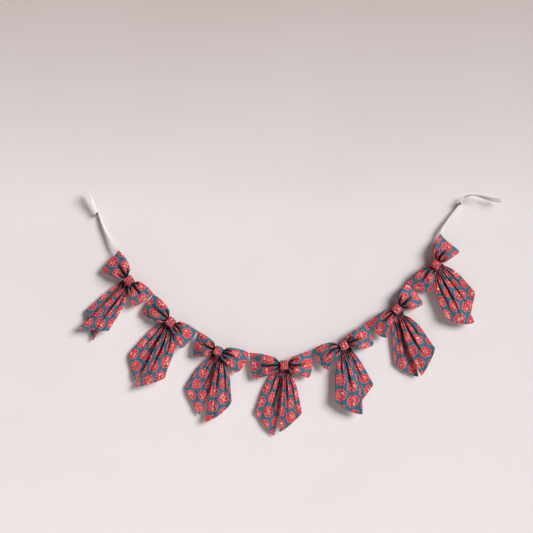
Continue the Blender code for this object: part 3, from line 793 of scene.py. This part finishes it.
# Each tail: its gathered neck, the outer corner and the tip of its slanting end, all from the knot's
# centre; how far its outer, inner and end edges bulge; and whether it hangs in front of the other tail
Tail = namedtuple("Tail", "bow side neck corner tip outer_bulge inner_bulge end_bulge in_front")
TAILS = [
    Tail(1, "left", (-16, -7), (-97, -65), (-81, -133), 1.0, 5, 0.0, False),
    Tail(1, "right", (-5, -17), (-44, -112), (-110, -106), 5.5, 2, 0.0, True),
    Tail(2, "left", (-17, -4), (-91, -67), (-78, -130), 3.0, 11, 3.0, False),
    Tail(2, "right", (-5, -13), (-11, -123), (-76, -143), 14.0, 2, 1.5, True),
    Tail(3, "left", (-12, -14), (-74, -80), (-42, -142), 5.0, 11, 1.0, False),
    Tail(3, "right", (6, -16), (31, -111), (-28, -157), 6.0, 4, 6.0, True),
    Tail(4, "left", (-14, -14), (-64, -104), (-23, -158), 6.0, 12, 0.0, False),
    Tail(4, "right", (6, -14), (41, -104), (-9, -148), 5.0, 3, 2.0, True),
    Tail(5, "left", (-2, -16), (-20, -121), (41, -152), 5.0, 12, 6.0, True),
    Tail(5, "right", (14, -13), (68, -87), (27, -140), 3.0, 8, 0.0, False),
    Tail(6, "left", (-6, -17), (-5, -120), (48, -150), 2.0, 12, 3.0, False),
    Tail(6, "right", (11, -14), (85, -85), (55, -146), 8.0, 8, 2.0, True),
    Tail(7, "left", (5, -16), (19, -112), (86, -128), 10.0, 7, 9.0, True),
    Tail(7, "right", (17, -6), (90, -60), (75, -124), 6.0, 6, 0.0, False),
]

# Each tail's two folds, a and b: the place across its width that each runs from and to, counted from its
# outer edge, and its reach down the tail; and how far the tail's outer corner and its tip stand forward
Folds = namedtuple("Folds", "bow side a_from a_to a_reach b_from b_to b_reach corner_out tip_out")
TAIL_FOLDS = [
    Folds(1, "left", 0.35, 0.30, 0.7, 0.70, 0.66, 0.9, 1, -1),
    Folds(1, "right", 0.30, 0.22, 0.6, 0.62, 0.45, 1.0, 2, 1),
    Folds(2, "left", 0.32, 0.30, 0.8, 0.68, 0.62, 0.9, -1, 1),
    Folds(2, "right", 0.30, 0.35, 0.6, 0.66, 0.72, 0.9, 3, 0),
    Folds(3, "left", 0.38, 0.42, 0.5, 0.70, 0.60, 0.8, -1, 1),
    Folds(3, "right", 0.30, 0.25, 0.9, 0.70, 0.75, 0.6, 2, -1),
    Folds(4, "left", 0.34, 0.30, 0.6, 0.70, 0.55, 0.9, 0, 0),
    Folds(4, "right", 0.30, 0.24, 0.8, 0.68, 0.60, 0.6, 2, 1),
    Folds(5, "left", 0.30, 0.25, 0.5, 0.62, 0.60, 0.8, 2, 1),
    Folds(5, "right", 0.36, 0.36, 0.8, 0.70, 0.70, 0.9, -1, 0),
    Folds(6, "left", 0.34, 0.32, 0.9, 0.66, 0.60, 0.8, -1, 0),
    Folds(6, "right", 0.32, 0.28, 0.7, 0.66, 0.50, 0.9, 2, 1),
    Folds(7, "left", 0.28, 0.30, 0.8, 0.64, 0.60, 0.9, 2, 1),
    Folds(7, "right", 0.34, 0.32, 0.8, 0.68, 0.64, 0.9, -1, 1),
]


def early_bow(share):
    """0 at both ends and 1 a third of the way along."""
    return 27 / 4 * share * (1 - share) ** 2


def fold_shape(places, at_a, at_b, weights, softness):
    """How far each place lies into a fold: 0 on a round ridge and 1 in a valley, sharp or soft.

    The two main folds have a smaller one on each side of them and one between.
    """
    marks = [0, at_a * 0.45, at_a, (at_a + at_b) / 2, at_b, 1 - (1 - at_b) * 0.45, 1]
    phase = np.interp(places, marks, [0.5, 1, 2, 3, 4, 5, 5.5])
    nearest = np.clip(np.round(phase).astype(int), 1, 5) - 1
    sharp = 1.01 - np.sqrt(np.sin(math.pi * phase) ** 2 + 0.02)
    soft = 0.5 + 0.5 * np.cos(2 * math.pi * phase)
    return np.clip(mix(sharp, soft, softness), 0, 1) * np.array(weights)[nearest]


def fold_places(folds, share):
    """Where the two folds lie across the tail, at this share of the way down it."""
    return mix(folds.a_from, folds.a_to, share), mix(folds.b_from, folds.b_to, share)


def strip_row(outer, inner, direction, stand, places, folds, from_end, seed, share):
    """One line across a tail strip, from outer to inner edge: front, back, painted shade and flat shares."""
    chord = inner - outer
    wide = abs(chord[0] * direction[1] - chord[1] * direction[0])
    taken = np.concatenate([[0], np.cumsum(np.hypot(np.diff(places) * wide, np.diff(folds)))])
    taken /= taken[-1]
    shallow = TAIL_RIPPLE * ripples(places, share, seed, (3, 5, 7), (0.5, -0.9, 1.2)) * (1 - 0.5 * share)
    broad = TAIL_WAVE * ripples(places, share, seed + 1, (1, 1.6), (1.3, -0.9)) * share
    from_edge = np.minimum(taken, 1 - taken) * STRIP_WIDE
    thick = rim_thickness(np.minimum(from_edge, from_end))
    middle = stand - folds + shallow + broad
    flat = outer + chord * places[:, None]
    # Painted shade: the colour darkens with the depth of the folds, and beside the knot
    deep = folds / TAIL_FULL_SHADE_DEPTH + KNOT_SHADE * math.exp(-share * TAIL_SHORT_EDGE / KNOT_SHADE_REACH)
    return np.column_stack([flat, middle + thick]), np.column_stack([flat, middle - thick]), deep, taken


def tail_row(knot, tail, folds, beside, share, places):
    """A tail's line at this share of the way from its neck to its end; beside points to its outer edge."""
    neck, corner, tip = knot + tail.neck, knot + tail.corner, knot + tail.tip
    outer_neck, inner_neck = neck + beside * NECK_HALF_WIDE, neck - beside * NECK_HALF_WIDE
    outward = unit(turned_left(corner - outer_neck))
    if outward @ (tip - corner) > 0:
        outward = -outward
    outer = mix(outer_neck, corner, share) + outward * tail.outer_bulge * early_bow(share)
    inner_bow = even_bow(share) if tail.in_front else math.sin(math.pi * share**INNER_EDGE_EARLY)
    inner = mix(inner_neck, tip, share) - outward * tail.inner_bulge * inner_bow
    risen = eased(share / FRONT_RISE_BY) if tail.in_front else 0
    stand = mix(REAR_STAND, FRONT_STAND, risen)
    billow = (BILLOW if tail.in_front else REAR_BILLOW) * math.sin(math.pi * share) * even_bow(places)
    lean = mix(folds.corner_out, folds.tip_out, places) * share**2
    fading = 1 - eased(share / MINOR_FOLDS_END)
    reaches = folds.a_reach, folds.b_reach
    lighter, deeper = (mix(1, FOLDS_LEFT, eased(share / reach) ** FOLDS_FADE_LATE) for reach in reaches)
    lighter *= mix(1, A_FOLD_LIGHTER, eased(share / MINOR_FOLDS_END))
    minor = MINOR_FOLD * fading
    weights = [minor, lighter, minor, deeper, minor]
    softness = eased(share / FOLDS_SOFTEN_BY)
    deepest = mix(DEEPEST_FOLD, SHALLOWEST_FOLD, softness)
    depth = deepest * fold_shape(places, *fold_places(folds, share), weights, softness)
    depth *= mix(REAR_FOLDS, 1, risen)
    from_end = (1 - share) * mix(TAIL_SHORT_EDGE, TAIL_LONG_EDGE, 0.5) * 0.9
    seed = 20 * tail.bow + 2 * (tail.side == "right")
    direction = unit((corner + tip) / 2 - neck)
    row = strip_row(outer, inner, direction, stand + billow + lean, places, depth, from_end, seed, share)
    end_out = turned_left(unit(inner - outer))
    if end_out[1] > 0:
        end_out = -end_out
    reach_out = tail.end_bulge * even_bow(places) * share**2
    reach_out -= end_rounding(places, END_ROUND, END_ROUND) * share**6
    for points in row[:2]:
        points[:, :2] += end_out * reach_out[:, None]
    return row


def arch_row(left_folds, right_folds, necks, share, places):
    """A line across the arch that joins the necks, at this share of the way from left to right."""
    angle = math.pi * share
    beside = unit(necks[1] - necks[0])
    above = turned_left(beside)
    half_span = np.linalg.norm(necks[1] - necks[0]) / 2
    middle = (necks[0] + necks[1]) / 2
    middle = middle + above * ARCH_RISE * math.sin(angle) - beside * half_span * math.cos(angle)
    normal = unit(above * half_span * math.sin(angle) - beside * ARCH_RISE * math.cos(angle))
    at_a, at_b = (mix(before, after, share) for before, after in zip(
        fold_places(left_folds, 0), fold_places(right_folds, 0)))
    weights = [MINOR_FOLD, 1, MINOR_FOLD, 1, MINOR_FOLD]
    depth = REAR_FOLDS * DEEPEST_FOLD * fold_shape(places, at_a, at_b, weights, 0)
    seed = 20 * left_folds.bow + 2 * (share > 0.5)
    outer, inner = middle + normal * NECK_HALF_WIDE, middle - normal * NECK_HALF_WIDE
    return strip_row(outer, inner, turned_left(normal), REAR_STAND, places, depth, ARCH_LONG, seed, 0)


def make_tails(number, material):
    """A bow's whole tail strip: up its left tail, over the arch, and down its right one."""
    knot = bow_axes(number)[0]
    left, right = [tail for tail in TAILS if tail.bow == number + 1]
    left_folds, right_folds = [folds for folds in TAIL_FOLDS if folds.bow == number + 1]
    necks = knot + left.neck, knot + right.neck
    beside = unit(necks[1] - necks[0])
    places = rim_steps(ACROSS_STEPS, STRIP_WIDE)
    shares = rim_steps(TAIL_STEPS, TAIL_LONG_EDGE)
    shares = np.concatenate([[0.0], shares[shares >= 0.01]])
    rows = [tail_row(knot, left, left_folds, -beside, share, places) for share in shares[::-1]]
    for step in range(1, ARCH_STEPS):
        rows.append(arch_row(left_folds, right_folds, necks, step / ARCH_STEPS, places))
    rows += [tail_row(knot, right, right_folds, beside, share, places) for share in shares]
    arch = np.arange(1, ARCH_STEPS) / ARCH_STEPS - 0.5
    edge = TAIL_SHORT_EDGE + (TAIL_LONG_EDGE - TAIL_SHORT_EDGE) * places
    signed = np.concatenate([-shares[::-1], np.zeros(len(arch)), shares])
    middle = np.concatenate([np.full(len(shares), -0.5), arch, np.full(len(shares), 0.5)]) * ARCH_LONG
    flats = np.empty((len(rows), len(places), 2))
    front, back, deeps, taken = (np.array(grid) for grid in zip(*rows))
    flats[:, :, 0] = (taken * STRIP_WIDE + TAILS_CUT_ON_BY.across * number) / CLOTH_MAP_UNIT
    along = signed[:, None] * edge[None, :] + middle[:, None]
    flats[:, :, 1] = (along + TAILS_CUT_ON_BY.up * number) / CLOTH_MAP_UNIT
    piece = pillow_piece(f"printed_tails_{number + 1}", front, back, flats, deeps, material)
    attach(piece, "root")
    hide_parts(f"bow_{number + 1}_tails")


for number in range(len(BOWS)):
    make_tails(number, printed_cotton)

# Knots: a short band of the same cotton goes once round each pinched middle and is sewn behind it.
# It is folded in from both sides, so it swells between its edges and creases along its length.

KNOT_BAND_HALF_WIDE = 9.4
KNOT_HOLE_HALF_HIGH = 8.3
KNOT_HOLE_HALF_DEEP = 6.2
KNOT_THICK = 1.6
KNOT_BULGE = 1.6
KNOT_ROUND_STEPS = 80
KNOT_ACROSS_STEPS = 26
KNOT_SQUARENESS = 3.0
# The knots' painted shade is full at this crease depth
KNOT_FULL_SHADE = 2.6
KNOT_CREASES = (-0.5, 0.05, 0.55)
KNOT_CREASE_HALF_WIDE = 0.12
KNOT_CREASE_SWAY = 0.09
KNOT_FLAT_RADIUS = 11
KNOT_HALF_WAY_ROUND = 17.3
KNOTS_CUT_ON_BY = Place(2 * FLOWER_STEP.across, 2 * FLOWER_STEP.up)


def ring_faces(rings, sides, first=0):
    """Faces of a tube that closes on itself, through rings of points, from the point numbered first."""
    faces = []
    for ring in range(rings):
        here, there = first + ring * sides, first + (ring + 1) % rings * sides
        for side in range(sides):
            beyond = (side + 1) % sides
            faces.append((here + side, here + beyond, there + beyond, there + side))
    return faces


def make_knot(number, material):
    """A band once round a bow's pinch: a soft outside, creased along the band with painted shade in the
    creases, and a plain inside painted fully dark.
    """
    knot, along, across, _ = bow_axes(number)
    draw = np.random.default_rng(300 + number)
    creases = [
        (draw.uniform(-0.1, 0.1) + at, draw.uniform(0.8, 1.6), draw.uniform(0, 6)) for at in KNOT_CREASES
    ]
    off_middle = draw.uniform(-5, 5, 2)
    power = 2 / KNOT_SQUARENESS
    beside = np.cos(np.linspace(math.pi, 0, KNOT_ACROSS_STEPS))
    points, flats, shades = [], [], []
    for step in range(KNOT_ROUND_STEPS):
        angle = 2 * math.pi * step / KNOT_ROUND_STEPS
        up = math.copysign(abs(math.cos(angle)) ** power, math.cos(angle))
        out = math.copysign(abs(math.sin(angle)) ** power, math.sin(angle))
        facing = max(0.0, math.sin(angle) + 0.4) / 1.4
        thick = KNOT_THICK * (1 - beside**4) ** 0.5 + KNOT_BULGE * facing * (1 - beside**2)
        creased = 0
        for at, deep, phase in creases:
            wandered = at + KNOT_CREASE_SWAY * math.sin(2 * angle + phase)
            line = np.exp(-(((beside - wandered) / KNOT_CREASE_HALF_WIDE) ** 2))
            creased = creased + deep * facing * line * (1 - beside**4)
        thick = np.maximum(thick - creased, 0)
        ring = [(beside, thick), (beside[-2:0:-1], np.zeros(KNOT_ACROSS_STEPS - 2))]
        # Painted shade: each crease darkens with its depth, and the band's inside is painted fully dark
        shades += [*(creased / KNOT_FULL_SHADE), *np.ones(KNOT_ACROSS_STEPS - 2)]
        half_wide = KNOT_BAND_HALF_WIDE * (1 - 0.05 * abs(math.sin(angle + number)))
        for sides, deeps in ring:
            for side, deep in zip(sides, deeps):
                flat = knot + along * half_wide * side + across * up * (KNOT_HOLE_HALF_HIGH + deep)
                points.append((*flat, BOW_STAND + out * (KNOT_HOLE_HALF_DEEP + deep)))
                flat_across = side * KNOT_BAND_HALF_WIDE + off_middle[0] + KNOTS_CUT_ON_BY.across * number
                flat_round = angle * KNOT_FLAT_RADIUS - KNOT_HALF_WAY_ROUND
                flat_round = flat_round + off_middle[1] + KNOTS_CUT_ON_BY.up * number
                flats.append((flat_across / CLOTH_MAP_UNIT, flat_round / CLOTH_MAP_UNIT))
    faces = ring_faces(KNOT_ROUND_STEPS, 2 * KNOT_ACROSS_STEPS - 2)
    piece = new_piece(f"printed_knot_{number + 1}", points, faces, material, flats, shades)
    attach(piece, "root")
    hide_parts(f"bow_{number + 1}_knot")


for number in range(len(BOWS)):
    make_knot(number, printed_cotton)

# Sewing thread: doubled teal cotton thread. Three stitches through the cloth hold each pair of neighbouring
# corners together, and three more hold each tape to the back of its end bow's corner.

THREAD_RADIUS = 0.26
THREAD_SIDES = 8
STITCH_STEPS = 28
STITCH_HALF_SPAN = 1.8
STITCH_HALF_DEEP = 1.35
TAPE_STITCH_HALF_DEEP = 2.7
TAPE_STITCH_STAND = 14.6
STITCHES_DOWN = (0.8, 1.9, 3.0)
STITCH_SLANT = 0.25
PLY_SCALE = 3500
TAPE_STITCHES = {"left": Place(46.5, -82.5), "right": Place(753, -46.5)}


def thread_finish():
    """Teal cotton thread: two plies twisted together, a little uneven in tone."""
    material, tree, shader = new_finish("teal_cotton_thread")
    place = put(tree, "TexCoord").outputs["Object"]
    plies = noise(tree, place, PLY_SCALE)[0]
    tone = blend_colour(tree, plies, colour(30, 62, 74), colour(86, 122, 134))
    roughness = maths(tree, "MULTIPLY_ADD", plies, 0.2, 0.65)
    dress(tree, shader, tone, roughness, relief(tree, plies, 0.3, 0.0001))
    return material


def make_stitches(name, joint, ahead, down, stand, half_deep, material):
    """Closed rings of thread round a joint, across it in the direction ahead and set one below the other."""
    draw = np.random.default_rng(len(name) + int(abs(joint[0])))
    points, faces = [], []
    for below in STITCHES_DOWN:
        middle = np.array([*(joint + down * below), stand])
        slant = draw.uniform(-STITCH_SLANT, STITCH_SLANT)
        wide = np.array([*(ahead + down * slant), 0]) * STITCH_HALF_SPAN
        deep = np.array([0, 0, half_deep])
        aside = unit(np.cross(wide, deep))
        first = len(points)
        for step in range(STITCH_STEPS):
            angle = 2 * math.pi * step / STITCH_STEPS
            round_out = wide * math.cos(angle) + deep * math.sin(angle)
            outward = wide * math.cos(angle) / STITCH_HALF_SPAN**2 + deep * math.sin(angle) / half_deep**2
            outward = unit(outward)
            for side in range(THREAD_SIDES):
                turn = 2 * math.pi * side / THREAD_SIDES
                thread = (outward * math.cos(turn) + aside * math.sin(turn)) * THREAD_RADIUS
                points.append(middle + round_out + thread)
        faces += ring_faces(STITCH_STEPS, THREAD_SIDES, first)
    piece = new_piece(name, points, faces, material)
    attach(piece, "root")


teal_thread = thread_finish()
for number, (bow, beyond) in enumerate(zip(BOWS, BOWS[1:])):
    joint = np.array(SEWN_CORNERS[number + 1])
    ahead = unit(np.array(beyond[:2]) - np.array(bow[:2]))
    lows = np.array(bow[:2]) + bow.right_low, np.array(beyond[:2]) + beyond.left_low
    down = unit(lows[0] + lows[1] - 2 * joint)
    name = f"sewing_thread_{number + 1}"
    make_stitches(name, joint, ahead, down, CORNER_STAND, STITCH_HALF_DEEP, teal_thread)
for side, place in TAPE_STITCHES.items():
    run = TAPE_RUNS[side]
    down = unit(np.array(run[0][:2]) - np.array(run[1][:2]))
    name, joint, ahead = f"sewing_thread_tape_{side}", np.array(place), turned_left(down)
    make_stitches(name, joint, ahead, down, TAPE_STITCH_STAND, TAPE_STITCH_HALF_DEEP, teal_thread)

# Wall, floor, light and camera: a pale plastered wall, seen only from its front, and a pale floor well
# below. Daylight comes from the right and a little above, softly, and the camera faces the wall.

WALL_HALF_WIDE = 4.0
WALL_HIGH = 3
WALL_BEHIND = 0.0005
FLOOR_DROP = 1.25
DAYLIGHT_STRENGTH = 3.8
DAYLIGHT_SOFTNESS = math.radians(30)
DAYLIGHT_FROM = (1.05, -1.0, 0.55)
FILL_POWER = 5
BEHIND_POWER = 20
ROOM_GLOW = 0.05
PHOTO_PIXELS = 533
MM_PER_PIXEL = 2.2
PHOTO_MIDDLE = Place(370.7, -115.5)
CAMERA_AWAY = 3.4
SENSOR_WIDE = 36


def wall_finish():
    """Pale plaster, mottled and with painted shade darkening it towards the top, that lets the camera and
    shadows through from behind.
    """
    material, tree, shader = new_finish("pale_wall")
    place = put(tree, "TexCoord").outputs["Object"]
    # Painted shade: the plaster darkens towards the top, with a random mottle mixed in
    height = put(tree, "SeparateXYZ", place).outputs[2]
    painted_top_shade = maths(tree, "MULTIPLY", height, 1.9, clamp=True)
    mottle = maths(tree, "SUBTRACT", noise(tree, place, 3.0)[0], 0.5)
    painted_top_shade = maths(tree, "MULTIPLY_ADD", mottle, 0.25, painted_top_shade, clamp=True)
    tone = blend_colour(tree, painted_top_shade, colour(230, 224, 224), colour(196, 183, 180))
    tree.links.new(tone, shader.inputs["Base Color"])
    shader.inputs["Roughness"].default_value = 0.95
    clear = put(tree, "BsdfTransparent")
    behind = maths(tree, "MAXIMUM", put(tree, "NewGeometry").outputs["Backfacing"],
                   put(tree, "LightPath").outputs["Is Shadow Ray"])
    both = put(tree, "MixShader", behind, shader.outputs[0], clear.outputs[0])
    tree.links.new(both.outputs[0], tree.nodes["Material Output"].inputs["Surface"])
    return material


def stage_plane(name, corners, material):
    mesh = bpy.data.meshes.new(name)
    mesh.from_pydata(corners, [], [(0, 1, 2, 3)])
    mesh.materials.append(material)
    plane = bpy.data.objects.new(name, mesh)
    bpy.context.scene.collection.objects.link(plane)


def soft_light(name, place, target, size, power):
    light = bpy.data.lights.new(name, "AREA")
    light.shape = "DISK"
    light.size = size
    light.energy = power
    lamp = bpy.data.objects.new(name, light)
    lamp.location = place
    lamp.rotation_euler = (Vector(target) - Vector(place)).to_track_quat("-Z", "Y").to_euler()
    bpy.context.scene.collection.objects.link(lamp)


middle = Vector((PHOTO_MIDDLE.across * MM, 0, PHOTO_MIDDLE.up * MM))
wide, drop, back = WALL_HALF_WIDE, -FLOOR_DROP, WALL_BEHIND
wall_corners = [(-wide, back, drop), (wide, back, drop), (wide, back, WALL_HIGH), (-wide, back, WALL_HIGH)]
stage_plane("wall", wall_corners, wall_finish())
floor_material, _, floor_shader = new_finish("pale_floor")
floor_shader.inputs["Base Color"].default_value = colour(222, 216, 213)
floor_shader.inputs["Roughness"].default_value = 0.9
floor_corners = [(-wide, -wide, drop), (wide, -wide, drop), (wide, wide, drop), (-wide, wide, drop)]
stage_plane("floor", floor_corners, floor_material)

daylight = bpy.data.lights.new("daylight", "SUN")
daylight.energy = DAYLIGHT_STRENGTH
daylight.angle = DAYLIGHT_SOFTNESS
window = bpy.data.objects.new("daylight", daylight)
window.rotation_euler = Vector(DAYLIGHT_FROM).to_track_quat("Z", "Y").to_euler()
bpy.context.scene.collection.objects.link(window)
soft_light("fill", middle + Vector((-0.2, -1.7, -1.5)), middle + Vector((0, 0, -0.5)), 2.0, FILL_POWER)
soft_light("behind", middle + Vector((0.4, 2.6, 0.6)), middle, 2.6, BEHIND_POWER)

world = bpy.data.worlds.new("daylight")
world.use_nodes = True
world.node_tree.nodes["Background"].inputs["Color"].default_value = (0.95, 0.94, 0.95, 1)
world.node_tree.nodes["Background"].inputs["Strength"].default_value = ROOM_GLOW
bpy.context.scene.world = world

camera_data = bpy.data.cameras.new("camera")
camera_data.sensor_width = SENSOR_WIDE
camera_data.lens = SENSOR_WIDE * CAMERA_AWAY / (PHOTO_PIXELS * MM_PER_PIXEL * MM)
camera = bpy.data.objects.new("camera", camera_data)
camera.location = middle + Vector((0, -CAMERA_AWAY, 0))
camera.rotation_euler = (math.pi / 2, 0, 0)
bpy.context.scene.collection.objects.link(camera)
bpy.context.scene.camera = camera
bpy.context.scene.view_settings.view_transform = "Standard"
